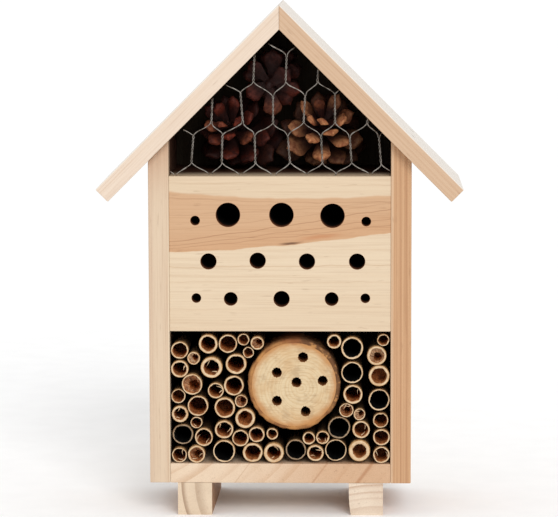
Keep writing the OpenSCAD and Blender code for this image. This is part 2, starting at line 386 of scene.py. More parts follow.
def knot(net, middle):
    """1 on the brown knot at the top of the log, 0 away from it"""
    drift = net.times(net.spots(160, 2), 0.004)
    height = net.plus(net.less(net.z, middle.z), drift)
    across = net.band(net.x, middle.x - 0.002, 0.008, 0.5)
    return net.times(across, net.ramp(height, 0.0262, 0.0285), 0.8)


def log_wood(middle):
    """The sawn face of the log: pale, with fine rings, drying marks and a warmer edge"""
    net = Net("log_wood")
    x, z = net.x, net.z
    flat = net.join(x, net.times(net.y, 0.03), z)
    away = net.radius(net.less(x, middle.x + 0.0045), net.less(z, middle.z - 0.002))
    away = net.plus(away, net.times(net.noise(flat, 70, 2), 0.004))
    uneven = net.noise(net.join(away, 0.2, 0.4), 260, 1)
    part = net.math("FRACT", net.plus(net.math("DIVIDE", away, 0.0021), net.times(uneven, 2.2)))
    ring = net.times(net.ramp(part, 0.3, 0.9), net.ramp(part, 1.0, 0.93))
    saw = net.noise(net.join(net.times(x, 0.08), 0.0, z), 1500, 2)
    patch = net.noise(flat, 95, 3)
    net.colour = net.mix(net.times(ring, 0.3), rgb(232, 208, 168), rgb(206, 164, 114))
    net.lay(net.ramp(patch, 0.45, 0.72, 0.0, 0.5), 216, 176, 128)
    net.lay(net.ramp(saw, 0.5, 0.75, 0.0, 0.35), 196, 150, 104, kind="MULTIPLY")
    rim = net.radius(net.less(x, middle.x), net.less(z, middle.z))
    rim = net.plus(rim, net.times(net.less(net.noise(flat, 110, 3), 0.5), 0.006))
    warm = net.ramp(net.math("ABSOLUTE", net.less(z, middle.z)), 0.010, 0.025, 0.0, 0.3)
    net.lay(warm, 214, 158, 96)
    net.lay(net.ramp(net.noise(flat, 140, 4, 0.65), 0.5, 0.66, 0.0, 0.35), 170, 138, 104)
    net.lay(net.ramp(rim, 0.0212, 0.0262, 0.0, 0.9), 200, 140, 82)
    net.lay(knot(net, middle), 164, 104, 62)
    rough = net.ramp(patch, 0.3, 0.7, 0.6, 0.8)
    return net.finish(rough, net.plus(ring, saw), 0.00015, 0.5, gloss=0.25)


def bark(middle):
    """Young bark: orange inner bark at the left, rough dark bark at the upper right"""
    net = Net("bark")
    dx, dz = net.less(net.x, middle.x), net.less(net.z, middle.z)
    rim = net.radius(dx, dz)
    rough = net.spots(330, 4, 0.65)
    flake = net.noise(net.join(dx, net.times(net.y, 0.2), dz), 130, 3)
    net.colour = net.mix(net.ramp(flake, 0.35, 0.68), rgb(206, 148, 88), rgb(150, 100, 60))
    net.lay(net.ramp(rim, 0.0268, 0.0287), 112, 74, 46, 0.6)
    dark_side = net.ramp(net.plus(dx, net.times(dz, 0.6)), 0.002, 0.024, 0.0, 0.85)
    patch = net.times(dark_side, net.ramp(rough, 0.36, 0.5))
    net.lay(patch, 96, 64, 44)
    net.lay(knot(net, middle), 150, 92, 54)
    return net.finish(net.ramp(rough, 0.3, 0.7, 0.7, 0.95), rough, 0.0006, 0.8, gloss=0.2)


def cone_scales():
    """Pine cone scales: dark at the root and thick and orange-brown at the tip"""
    net = Net("cone_scale")
    share, tone_and_light = (net.add("ShaderNodeAttribute", attribute_name=name).outputs["Fac"]
                   for name in ("along", "tone_and_light"))
    mottle = net.spots(320, 4, 0.6)
    fine = net.spots(1400, 3)
    dark = net.mix(net.ramp(mottle, 0.35, 0.68), rgb(134, 54, 36), rgb(70, 24, 18))
    pale = net.mix(net.ramp(mottle, 0.35, 0.68), rgb(224, 156, 106), rgb(160, 92, 60))
    # in part painted light: the cone's tone picks between dark and pale tips, besides the scales' random
    # tone
    tip = net.mix(tone_and_light, dark, pale)
    root = net.mix(net.ramp(fine, 0.35, 0.65), rgb(66, 26, 20), rgb(34, 14, 11))
    net.colour = net.mix(net.ramp(share, 0.35, 0.8), root, tip)
    # painted shade: the scales darken with depth and towards the roof
    painted_attic_shade = net.math("MAXIMUM", net.ramp(net.depth, 0.008, 0.042, 0.0, 0.9),
                     net.ramp(net.z, 0.232, 0.272, 0.0, 0.86))
    net.lay(painted_attic_shade, 30, 9, 7)
    height = net.plus(mottle, net.times(fine, 0.5))
    return net.finish(net.ramp(mottle, 0.3, 0.7, 0.5, 0.8), height, 0.0004, 0.7, gloss=0.2)


def paper_floor():
    net = Net("floor")
    patch = net.spots(40, 3)
    net.colour = net.mix(net.ramp(patch, 0.3, 0.7), (0.94, 0.94, 0.94, 1), (0.96, 0.96, 0.96, 1))
    return net.finish(0.9, gloss=0.0)


# ---- mesh tools


def linked(name, data):
    """A new object in the scene"""
    obj = bpy.data.objects.new(name, data)
    bpy.context.scene.collection.objects.link(obj)
    return obj


def piece(name, mesh, nodes, materials=()):
    """A new piece that rides on the house and stands for its CAD nodes"""
    obj = linked(name, mesh)
    for material in materials:
        mesh.materials.append(material)
    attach(obj, "root")
    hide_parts(*nodes)


def mesh_of(name, bm, material=None, smooth=False):
    bmesh.ops.recalc_face_normals(bm, faces=bm.faces)
    for face in bm.faces:
        face.smooth = smooth or face.smooth
    mesh = bpy.data.meshes.new(name)
    bm.to_mesh(mesh)
    bm.free()
    if material:
        mesh.materials.append(material)
    return mesh


def prism(bm, outline, low_y, high_y, soft):
    """A board with softened edges. Its outline is drawn in x and z."""
    loops = [[bm.verts.new((x, y, z)) for x, z in outline] for y in (low_y, high_y)]
    count = len(outline)
    bm.faces.new(loops[0])
    bm.faces.new(loops[1][::-1])
    for i in range(count):
        j = (i + 1) % count
        bm.faces.new((loops[0][i], loops[1][i], loops[1][j], loops[0][j]))
    bmesh.ops.recalc_face_normals(bm, faces=bm.faces)
    bmesh.ops.bevel(bm, geom=bm.edges[:], offset=soft, segments=2, profile=0.6, affect="EDGES")


def rolled(right, up, angle):
    """Both directions, turned by an angle in their plane"""
    return (right * cos(angle) + up * sin(angle),
            up * cos(angle) - right * sin(angle))


def polar(x, y, z, radius, angle):
    """The point at an angle on a circle that is drawn in x and z round (x, y, z)"""
    return Vector((x + radius * cos(angle), y, z + radius * sin(angle)))


def hoop(middle, radius, right, up, sides):
    """Points on a circle in the plane of right and up"""
    turns = [TAU * i / sides for i in range(sides)]
    return [middle + radius * (cos(a) * right + sin(a) * up) for a in turns]


def bumps(size, angle, right=0.0, up=0.0, along=0.0):
    """Smooth noise on the way round a circle, finer on a larger one"""
    return noise.noise(Vector((size * cos(angle) + right, size * sin(angle) + up, along)))


def lathe(bm, rings, closed=False, slots=None):
    """Joins rings of points, each with the same count, and caps the ends or joins last to first"""
    loops = [[bm.verts.new(p) for p in ring] for ring in rings]
    count = len(rings[0])
    spans = len(loops) if closed else len(loops) - 1
    for k in range(spans):
        a, b = loops[k], loops[(k + 1) % len(loops)]
        for i in range(count):
            j = (i + 1) % count
            face = bm.faces.new((a[i], a[j], b[j], b[i]))
            face.smooth = True
            face.material_index = slots[k] if slots else 0
    if not closed:
        for loop, span in ((loops[0][::-1], 0), (loops[-1], -1)):
            face = bm.faces.new(loop)
            face.material_index = slots[span] if slots else 0
    return loops


def tube(bm, points, radius):
    """A wire along a line of points, closed at its ends"""
    rings = []
    normal = None
    for k, point in enumerate(points):
        ahead = points[min(k + 1, len(points) - 1)] - points[max(k - 1, 0)]
        ahead.normalize()
        if normal is None:
            normal = ahead.orthogonal().normalized()
        normal = (normal - ahead * normal.dot(ahead)).normalized()
        rings.append(hoop(point, radius, normal, ahead.cross(normal), 7))
    lathe(bm, rings)


def cut(mesh, cutter_mesh):
    """The mesh with the cutter taken out. The walls keep the cutter's material."""
    body, cutter = linked("cut", mesh), linked("cut", cutter_mesh)
    difference = body.modifiers.new("cut", "BOOLEAN")
    difference.operation = "DIFFERENCE"
    difference.solver = "EXACT"
    difference.material_mode = "TRANSFER"
    difference.object = cutter
    bpy.context.view_layer.update()
    result = body.evaluated_get(bpy.context.evaluated_depsgraph_get())
    done = bpy.data.meshes.new_from_object(result)
    for obj in (body, cutter):
        bpy.data.objects.remove(obj)
    bm = bmesh.new()
    bm.from_mesh(done)
    bmesh.ops.dissolve_degenerate(bm, dist=2e-6, edges=bm.edges)
    bm.to_mesh(done)
    bm.free()
    return done


def nail_cutter(material=None):
    """Every nail of the CAD model as one mesh"""
    bm = bmesh.new()
    for name in NAILS:
        bm.from_mesh(NODES[name].data)
    bmesh.ops.remove_doubles(bm, verts=bm.verts, dist=1e-6)
    for face in bm.faces:
        face.material_index = 0
    return mesh_of("nail_cutter", bm, material)


def round_walls(node):
    """The round walls of a CAD node that run from front to back: (x, z, radius, front y, back y)"""
    mesh = NODES[node].data
    key = [tuple(round(c, 6) for c in v.co) for v in mesh.vertices]
    root = {k: k for k in key}

    def find(k):
        while root[k] != k:
            root[k] = root[root[k]]
            k = root[k]
        return k

    for face in mesh.polygons:
        if abs(face.normal.y) < 0.2:
            first = find(key[face.vertices[0]])
            for i in face.vertices:
                root[find(key[i])] = first
    groups = {}
    for k in root:
        groups.setdefault(find(k), []).append(k)
    walls = []
    for group in groups.values():
        low, high = ([f(p[i] for p in group) for i in range(3)] for f in (min, max))
        width, height = high[0] - low[0], high[2] - low[2]
        if width > 1 * MM and abs(width - height) < 0.05 * width and high[1] - low[1] > 20 * MM:
            walls.append(((low[0] + high[0]) / 2, (low[2] + high[2]) / 2, (width + height) / 4,
                          low[1], high[1]))
    return sorted(walls)


# ---- the boards


def board(name, node, outline, material, inside=None, soft=0.6 * MM):
    """A board of one outline. inside is where its matt face inside the house looks, if it has one."""
    low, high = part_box(node)
    bm = bmesh.new()
    prism(bm, outline, low.y, high.y, soft)
    mesh = cut(mesh_of(name, bm), nail_cutter())
    mesh.materials.clear()
    mesh.materials.append(material)
    if inside:
        matt_inside(mesh, material, inside)
    piece(name, mesh, [node])


def rectangle(node):
    low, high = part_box(node)
    return [(low.x, low.z), (high.x, low.z), (high.x, high.z), (low.x, high.z)]


def side_panels():
    pale = wood("pale_pine_panel", Z, X, (-95, -170), 3.4, rgb(230, 206, 178), rgb(206, 164, 126),
                left_panel_figure, 0.35)
    tan = wood("tan_pine_panel", Z, X, (190, -60), 1.9, rgb(222, 178, 136), rgb(182, 128, 86),
               right_panel_figure, 0.4)
    for side, node, material, slot in ((-1, "left_side_panel", pale, "pale_pine"),
                                       (1, "right_side_panel", tan, "tan_pine")):
        low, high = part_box(node)
        inner, outer = (high.x, low.x) if side < 0 else (low.x, high.x)
        thick = high.x - low.x
        outline = [(inner, low.z), (outer, low.z), (outer, high.z - thick), (inner, high.z)]
        board(node + "_board", node, outline, material, inside=X * -side)


def roof_boards():
    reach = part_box("right_roof_board")[1].x
    looks = ((-1, "left_roof_board", "pale_pine", (-60, 330), 3.8, rgb(242, 222, 202),
              rgb(226, 196, 166), 0.22, 1.6),
             (1, "right_roof_board", "tan_pine", (-30, 260), 3.0, rgb(222, 189, 157),
              rgb(196, 152, 116), 0.3, 1.4))
    for side, node, slot, pith, pitch, early, late, rings, wander in looks:
        outline = [(0, INNER_RIDGE), (0, RIDGE_Z), (side * reach, RIDGE_Z - reach),
                   (side * (reach - ROOF_RISE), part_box(node)[0].z)]
        down = (X * side - Z).normalized()
        material = wood(slot + "_roof", down, Y, pith, pitch, early, late, roof_figure, rings, wander)
        inside = (X * -side - Z).normalized()
        board(node + "_plank", node, outline, material, inside)


def bottom_and_back():
    end_grain = wood("pale_pine_floor", Y, X, (-136, -156), 9.0, rgb(244, 220, 192), rgb(208, 164, 124),
                     bottom_figure, 0.45, 0.5)
    board("bottom_board_plank", "bottom_board", rectangle("bottom_board"), end_grain)
    low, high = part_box("back_panel")
    shoulder = high.z - high.x
    outline = [(low.x, low.z), (high.x, low.z), (high.x, shoulder), (0, high.z), (low.x, shoulder)]
    board("back_panel_sheet", "back_panel", outline, plywood(), soft=0.3 * MM, inside=-Y)


WANE = 1.3 * MM
# The sunk holes are wider than the nails' heads and end above them, so that no faces coincide
RECESS_GAP, RECESS_HEIGHT = 0.25 * MM, 1.07 * MM


def feet():
    bowed = wood("pale_pine_left_foot", Y, X, (8, -21), 8.0, rgb(242, 220, 192), rgb(160, 126, 98),
                 foot_figure, 0.75, 0.25)
    flat = wood("pale_pine_right_foot", Y, X, (63, 80), 4.6, rgb(244, 226, 204), rgb(196, 158, 130),
                foot_figure, 0.7, 0.35)
    for node, material in (("left_foot", bowed), ("right_foot", flat)):
        low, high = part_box(node)
        top = [v.co for v in NODES[node].data.vertices if v.co.z > high.z - MM]
        corners = [max(top, key=lambda p: p.x * sx + p.y * sy)
                   for sx, sy in ((-1, -1), (1, -1), (1, 1), (-1, 1))]
        rings = []
        for share in (0.0, 0.12, 0.35, 0.6, 0.85, 1.0):
            # The right foot's left side is rounded towards the ground
            wane = WANE * (1 - share) ** 3 if node == "right_foot" else 0.0
            z = low.z + share * (high.z - low.z)
            rings.append([(c.x + (wane if k in (0, 3) else 0.0), c.y, z) for k, c in enumerate(corners)])
        bm = bmesh.new()
        lathe(bm, rings)
        for face in bm.faces:
            face.smooth = False
        sharp = [e for e in bm.edges if len(e.link_faces) == 2 and e.calc_face_angle(0.0) > 0.6]
        bmesh.ops.recalc_face_normals(bm, faces=bm.faces)
        bmesh.ops.bevel(bm, geom=sharp, offset=0.5 * MM, segments=2, profile=0.6, affect="EDGES")
        mesh = cut(cut(mesh_of(node, bm), nail_cutter()), foot_recess(low.z))
        mesh.materials.clear()
        piece(node + "_batten", mesh, [node], [material])


def foot_recess(ground):
    """The sunk holes in which the foot nails' heads sit"""
    bm = bmesh.new()
    heads = {}
    for v in NODES["foot_nails"].data.vertices:
        if v.co.z < ground + 1.2 * MM:
            heads.setdefault((v.co.x > 0, v.co.y > 0), []).append(v.co)
    for points in heads.values():
        x, y = ((min(p[i] for p in points) + max(p[i] for p in points)) / 2 for i in (0, 1))
        radius = (max(p.x for p in points) - min(p.x for p in points)) / 2 + RECESS_GAP
        lathe(bm, [hoop(Vector((x, y, z)), radius, X, Y, 48)
                   for z in (ground - MM, ground + RECESS_HEIGHT)])
    return mesh_of("foot_recess", bm)


def drill(bm, x, z, radius, front, back, ragged=0.0):
    """A drill's cutter: a plain bore that opens out a little at the mouth. ragged is in mm."""
    sides = 64
    flare_share = 0.35 if ragged else 0.7
    rings = []
    # How far behind the front, in mm, and how far the mouth opens out there
    stations = ((-1.5, 0.35), (-0.02, 0.35), (0.3, 0.05), (1.2, 0.0), ((back - front) / MM, 0.0))
    for behind, flare in stations:
        ring = []
        for k in range(sides):
            a = TAU * k / sides
            fray = ragged * bumps(6, a, along=x * 999) * (1.0 if flare else 0.4)
            r = radius + (flare * flare_share + fray) * MM
            ring.append(polar(x, front + behind * MM, z, r, a))
        rings.append(ring)
    lathe(bm, rings)


def drilled_block():
    node = "drilled_block"
    holes = [w for w in round_walls(node) if w[2] < 10 * MM]
    material = wood("block_pine", X, Z, (-300, -40), 5.2, rgb(236, 214, 184), rgb(216, 182, 144),
                    block_figure, 0.14, 1.5)
    wall = drilled_wall("drilled_bore", rgb(120, 70, 42), rgb(18, 9, 6), 14 * MM)
    bm = bmesh.new()
    for x, z, radius, front, back in holes:
        drill(bm, x, z, radius, front, back)
    cutter = mesh_of("block_drill", bm, wall, True)
    low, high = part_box(node)
    bm = bmesh.new()
    prism(bm, rectangle(node), low.y, high.y, 0.5 * MM)
    mesh = cut(cut(mesh_of(node, bm, material), cutter), nail_cutter(material))
    matt_inside(mesh, material, Z)
    piece("block_with_holes", mesh, [node])


# ---- the log


def log():
    holes = round_walls("log_core")
    x0, z0, radius, front, back = max(holes, key=lambda w: w[2])
    middle = Vector((x0, front, z0))
    length = (back - front) / MM
    sides = 120

    def outline(behind, r, rough, seed):
        """A rough ring of points. behind (the log's face) and rough are in mm."""
        ring = []
        y = front + behind * MM
        for k in range(sides):
            a = TAU * k / sides
            wave, fine = bumps(2.2, a, seed, 0, y * 30), bumps(9, a, 0, seed, y * 120)
            ring.append(polar(x0, y, z0, r + rough * MM * (0.7 * wave + 0.5 * fine), a))
        return ring

    bm = bmesh.new()
    # How far behind the face, how far inside the radius and how rough, in mm
    stations = ((0, 0.25, 0.12), (0.2, 0.1, 0.1), (0.7, 0.05, 0), (6, 0.05, 0), (length, 0.05, 0))
    lathe(bm, [outline(behind, radius - inset * MM, rough, 3) for behind, inset, rough in stations])
    for face in bm.faces:
        face.smooth = len(face.verts) == 4
    mesh = mesh_of("log_core", bm, log_wood(middle))
    bm = bmesh.new()
    for x, z, r, _, end in holes:
        if r < radius:
            drill(bm, x, z, r, front, end, ragged=0.55)
    wall = drilled_wall("log_bore", rgb(168, 108, 62), rgb(40, 17, 9), 44 * MM)
    cutter = mesh_of("log_drill", bm, wall, True)
    piece("log_with_holes", cut(mesh, cutter), ["log_core"])

    walls = round_walls("log_bark")
    edge = max(w[2] for w in walls)
    lip = (walls[0][3] - front) / MM
    inner, outside, rough = radius + 0.05 * MM, edge - 0.8 * MM, 1.3
    reach = edge - 0.05 * MM
    rings = []
    # How far behind the log's face in mm, the radius, and how rough in mm. The lip in front
    # overlaps the edge of the log's face.
    for behind, r, amount in (
        (length, inner, 0), (lip + 3, inner, 0), (lip + 0.5, inner, 0), (0.3, radius - 0.5 * MM, 0.2),
        (0.05, radius - 0.35 * MM, 0.5), (lip + 0.05, radius + 0.7 * MM, 0.6),
        (lip + 0.1, edge - 1.6 * MM, 0.8), (lip + 0.9, edge - 0.95 * MM, rough),
        (lip + 3, outside, rough), (lip + 8, outside, rough), (lip + 20, outside, rough),
        (length, outside, rough),
    ):
        ring = outline(behind, r, amount, 11)
        for p in ring:
            away = Vector((p.x - x0, 0, p.z - z0))
            if away.length > reach:
                away *= reach / away.length
                p.x, p.z = x0 + away.x, z0 + away.z
        rings.append(ring)
    bm = bmesh.new()
    lathe(bm, rings, closed=True)
    piece("log_bark_ring", mesh_of("log_bark", bm, smooth=True), ["log_bark"], [bark(middle)])


# ---- the canes

# How far behind its mouth a cane's inner wall lies, in mm, where it isn't left to chance, and
# the canes that are hollow as far as one can see
WALL_AT = {"cane_06": (5,), "cane_25": (2.4,), "cane_pair_07": (20, 3.2), "cane_pair_08": (4, 3),
           "cane_pair_01": (12, 3.5), "cane_pair_02": (12, 4), "cane_10": (9,), "cane_19": (12,),
           "cane_24": (14,), "cane_pair_06": (6, 20)}
OPEN_CANES = ["cane_%d" % n for n in (11, 14, 17, 18, 20, 21, 22, 23)]
GREY_CANES = ("cane_11", "cane_21", "cane_22")
# The canes with loose fibres at their mouths
SPLIT_CANES = ["cane_%02d" % n for n in (1, 4, 12, 13, 16, 26, 27, 30)]
SPLIT_CANES += ["cane_pair_%02d" % n for n in (3, 6, 8, 10, 11)]


def cane_tube(bm, outer, bore, wall_at, rng):
    """One cane. Slots: 0 skin, 1 rim, 2 bore, 3 the wall across its hollow, torn near the mouth."""
    x0, z0, radius, front, back = outer
    hollow = bore[2] + 0.22 * MM
    wall = radius - hollow
    seed, sides = rng.uniform(0, 99), 44
    oval, turn = rng.uniform(0.0, 0.035), rng.uniform(0, TAU)

    def ring(behind, r, rough=0.0, ragged=0.0, shift=(0.0, 0.0), tilt=0.0):
        """A rough ring of points. behind (the mouth), rough and ragged are in mm."""
        points = []
        for k in range(sides):
            a = TAU * k / sides
            d = r * (1 - oval * (1 + cos(2 * (a + turn))) / 2)
            d += rough * MM * (0.8 * bumps(1.6, a, seed) + 0.6 * bumps(7, a, 0, seed, 1))
            lip = ragged * MM * bumps(9, a, seed, 0, 5) + tilt * d * cos(a + turn)
            points.append(polar(x0 + shift[0], front + behind * MM + lip, z0 + shift[1], d, a))
        return points

    lean = [rng.uniform(-0.06, 0.06) * wall for _ in range(2)]
    length = (back - front) / MM
    side, mouth = radius - 0.08 * MM, hollow - 0.1 * MM
    rings = [ring(length, side), ring(9, side), ring(2, side, 0.05),
             ring(0.5, radius - 0.1 * MM, 0.1, 0.2), ring(0.1, radius - 0.22 * wall, 0.16, 0.35),
             ring(0.12, hollow + 0.35 * wall, 0.25, 0.5, lean),
             ring(0.45, hollow + 0.05 * MM, 0.5, 0.7, lean),
             ring(1.8, hollow - 0.05 * MM, 0.45, 0.3, lean)]
    slots = [0, 0, 0, 0, 1, 1, 2]
    if wall_at is None:
        rings += [ring(12, hollow, 0.1), ring(length, hollow)]
        lathe(bm, rings, closed=True, slots=slots + [2, 2, 1])
        return
    tilt = rng.choice((-1, 1)) * rng.uniform(0.1, 0.45) if wall_at > 3 else 0.0
    drop = abs(tilt) * hollow / MM
    deep = wall_at + drop
    if wall_at < 10:
        a = rng.uniform(0, TAU)
        off = (0.3 * hollow * cos(a), 0.3 * hollow * sin(a))
        rings += [ring(deep - 0.5, mouth, 0.3, 0.3), ring(deep, hollow * 0.9, 0.4, 1.4),
                  ring(deep + 0.3, hollow * 0.6, 0.9, 1.8, off),
                  ring(deep + 2.5, hollow * 0.56, 0.6, 0.5, off),
                  ring(deep + 16, hollow * 0.5, 0.3, 0.5, off)]
        lathe(bm, rings, slots=slots + [2, 3, 3, 2, 2])
        return
    rings += [ring(max(wall_at - 1.0, 1.9), mouth, 0.3, 0.3),
              ring(deep, hollow * 0.86, 0.3, 0.8, tilt=tilt),
              ring(deep + 0.4, hollow * 0.55, 0.4, 1.2, tilt=tilt),
              ring(deep + 0.7, hollow * 0.22, 0.2, 1.0, tilt=tilt)]
    lathe(bm, rings, slots=slots + [2, 3, 3, 3])


def splinter(bm, outer, bore, rng):
    """A fibre torn loose at the mouth of a cane, from its wall towards the middle"""
    x0, z0, _, front, _ = outer
    hollow = bore[2]
    a = rng.uniform(0, TAU)
    b = a + rng.choice((-1, 1)) * rng.uniform(0.5, 1.2)
    start = polar(x0, front + rng.uniform(0.6, 3.0) * MM, z0, 0.97 * hollow, a)
    reach = rng.uniform(0.45, 0.8)
    end = polar(x0, front + rng.uniform(0.5, 2.0) * MM, z0, reach * hollow, b)
    bend = Vector((rng.uniform(-0.5, 0.5), rng.uniform(0, 0.6), rng.uniform(-0.5, 0.5))) * MM
    thick = rng.uniform(0.3, 0.6) * MM
    ahead = (end - start).normalized()
    normal = ahead.orthogonal().normalized()
    side = ahead.cross(normal) * 0.6
    rings = []
    for t in (0, 0.25, 0.5, 0.75, 1):
        point = start.lerp(end, t) + bend * sin(math.pi * t)
        rings.append(hoop(point, thick * (1.15 - t), normal, side, 5))
    lathe(bm, rings, slots=[1] * 4)


def canes():
    skin = cane_skin()
    rim = cane_rim("cane_rim", rgb(236, 208, 170), rgb(206, 158, 108))
    grey_rim = cane_rim("cane_rim_grey", rgb(176, 152, 124), rgb(118, 92, 68))
    bore = cane_bore("cane_bore", rgb(220, 150, 90), rgb(204, 114, 52), rgb(96, 42, 18), 60 * MM)
    # painted shade: the open canes' hollows painted nearly black
    dark_bore = cane_bore("cane_bore_dark", rgb(70, 44, 28), rgb(22, 13, 9), rgb(8, 5, 4), 6 * MM)
    wall = cane_bore("cane_wall", rgb(236, 206, 166), rgb(190, 116, 62), rgb(84, 42, 22), 30 * MM)
    names = sorted(n for n in NODES if n.startswith("cane_"))
    for number, node in enumerate(names):
        rng = random.Random(100 + number)
        walls = round_walls(node)
        outers = []
        for w in sorted(walls, key=lambda w: -w[2]):
            if not any(math.hypot(w[0] - o[0], w[1] - o[1]) < o[2] for o in outers):
                outers.append(w)
        bm = bmesh.new()
        for k, outer in enumerate(sorted(outers, key=lambda w: -w[1])):
            inner = [w for w in walls if w[2] < outer[2] - 0.1 * MM
                     and math.hypot(w[0] - outer[0], w[1] - outer[1]) < outer[2]][0]
            fixed = WALL_AT.get(node, ())
            chance = rng.uniform(16, 40)
            at = None if node in OPEN_CANES else fixed[k] if k < len(fixed) else chance
            cane_tube(bm, outer, inner, at, rng)
            if at is not None and node in SPLIT_CANES:
                for _ in range(rng.choice((1, 2))):
                    splinter(bm, outer, inner, rng)
        materials = [skin, grey_rim if node in GREY_CANES else rim,
                     dark_bore if node in OPEN_CANES else bore, wall]
        piece(node.replace("cane", "bamboo"), mesh_of(node, bm), [node], materials)


# ---- the netting


# How far each twist of the netting is bent to the side from its even place, row by row, in mm
TWIST_BENDS = {-1: (0, 2, 2, 3, 3.5, 2.7, 4), 0: (0.5, -0.5, 0.5, 2.0, 3.0, 1.5, 0.2),
               1: (-6, 3, 2, 2, 2, 1.5, 2.7), 2: (0, 0, 0, 0.5, 1.0, 3.0), 3: (0, 0, 0, -2.5)}


def netting():
    """Hexagonal netting. Each wire runs down, twisted in turn with its left and right neighbours."""
    low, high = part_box("wire_netting")
    y0 = (low.y + high.y) / 2
    # The mesh: how far apart its rows are, how long a twist is, and the space between twists
    row_pitch, twist, column_pitch = 24.6 * MM, 16.3 * MM, 9.5 * MM
    wire, wind, turns = 0.26 * MM, 0.4 * MM, 3.4
    first_x, first_z = -53.5 * MM, low.z + (row_pitch - twist)
    rng = random.Random(12)
    rows = range(-1, 4)
    places = {}
    for row in rows:
        for column in range(-10 + row % 2, 11, 2):
            bends = TWIST_BENDS[row]
            k = (column + 6 + row % 2) // 2
            x = first_x + column_pitch * (column + 6) + (bends[k] * MM if 0 <= k < len(bends) else 0)
            lean = rng.uniform(-0.7, 0.7) * MM
            up, down = (rng.uniform(-0.6, 0.6) * MM for _ in range(2))
            bottom = first_z + row * row_pitch + up
            places[row, column] = (Vector((x - lean, 0, bottom)),
                                   Vector((x + lean, 0, bottom + twist + down)), rng.uniform(0, TAU))

    def inside(p):
        roof = INNER_RIDGE - abs(p.x) - 1.1 * MM
        return abs(p.x) < INNER_X - 0.4 * MM and ATTIC_Z + 0.4 * MM < p.z < roof

    bm = bmesh.new()
    for column, step in itertools.product(range(-9, 10), (-1, 1)):
        points = []
        sway = rng.uniform(0, 9)
        for row in rows:
            at, following = column, column + step
            if (row + column) % 2:
                at, following = following, at
            bottom, top, start = places[row, at]
            # The two wires of a twist lie opposite each other
            if (step > 0) != (at == column):
                start += math.pi
            for k in range(61):
                t = k / 60
                a = start + turns * TAU * t
                reach = wind * (1.25 - 0.25 * min(1.0, 7 * t, 7 * (1 - t)))
                across = Vector((reach * cos(a), y0 + reach * 0.9 * sin(a), 0))
                points.append(bottom.lerp(top, t) + across)
            if row + 1 in rows:
                here, there = points[-1].copy(), places[row + 1, following][0]
                for k in range(1, 10):
                    t = k / 10
                    p = here.lerp(Vector((there.x, y0, there.z)), t)
                    p.x += 0.9 * MM * sin(TAU * t) * (-1 if there.x > here.x else 1)
                    p.x += 0.35 * MM * noise.noise(Vector((sway, row, t * 3)))
                    p.z += 0.35 * MM * noise.noise(Vector((row, sway, t * 3)))
                    points.append(p)
        for shown, run in itertools.groupby(points, inside):
            run = list(run)
            if shown and len(run) > 3:
                tube(bm, run, wire)
    mesh = mesh_of("wire_netting", bm)
    zinc = metal("galvanised_wire", rgb(160, 154, 146), rgb(108, 98, 88), 0.3)
    piece("netting_wires", mesh, ["wire_netting"], [zinc])


# ---- the pine cones

# For each cone: whether its tip faces the front, how pale its scales are (in part painted light: paler
# for the lit right cone, darker for the two shaded ones), how far its tip leans to the right and up as
# shares of its length, and how many scales it has
CONES = {"pine_cone_01": (True, -0.15, (-0.3, 0.55), 30), "pine_cone_02": (True, 0.72, (0.1, 0.6), 30),
         "pine_cone_03": (False, -0.2, (0.2, 0.3), 24)}


GOLDEN_ANGLE = math.radians(137.508)


def in_attic(point, low, high):
    """Whether a point is clear of the attic's walls, and not in front of or behind its cone's box"""
    clear = 0.4 * MM
    return (low.y <= point.y <= high.y and abs(point.x) < INNER_X - clear
            and ATTIC_Z + clear < point.z < INNER_RIDGE - abs(point.x) - 2 * clear)


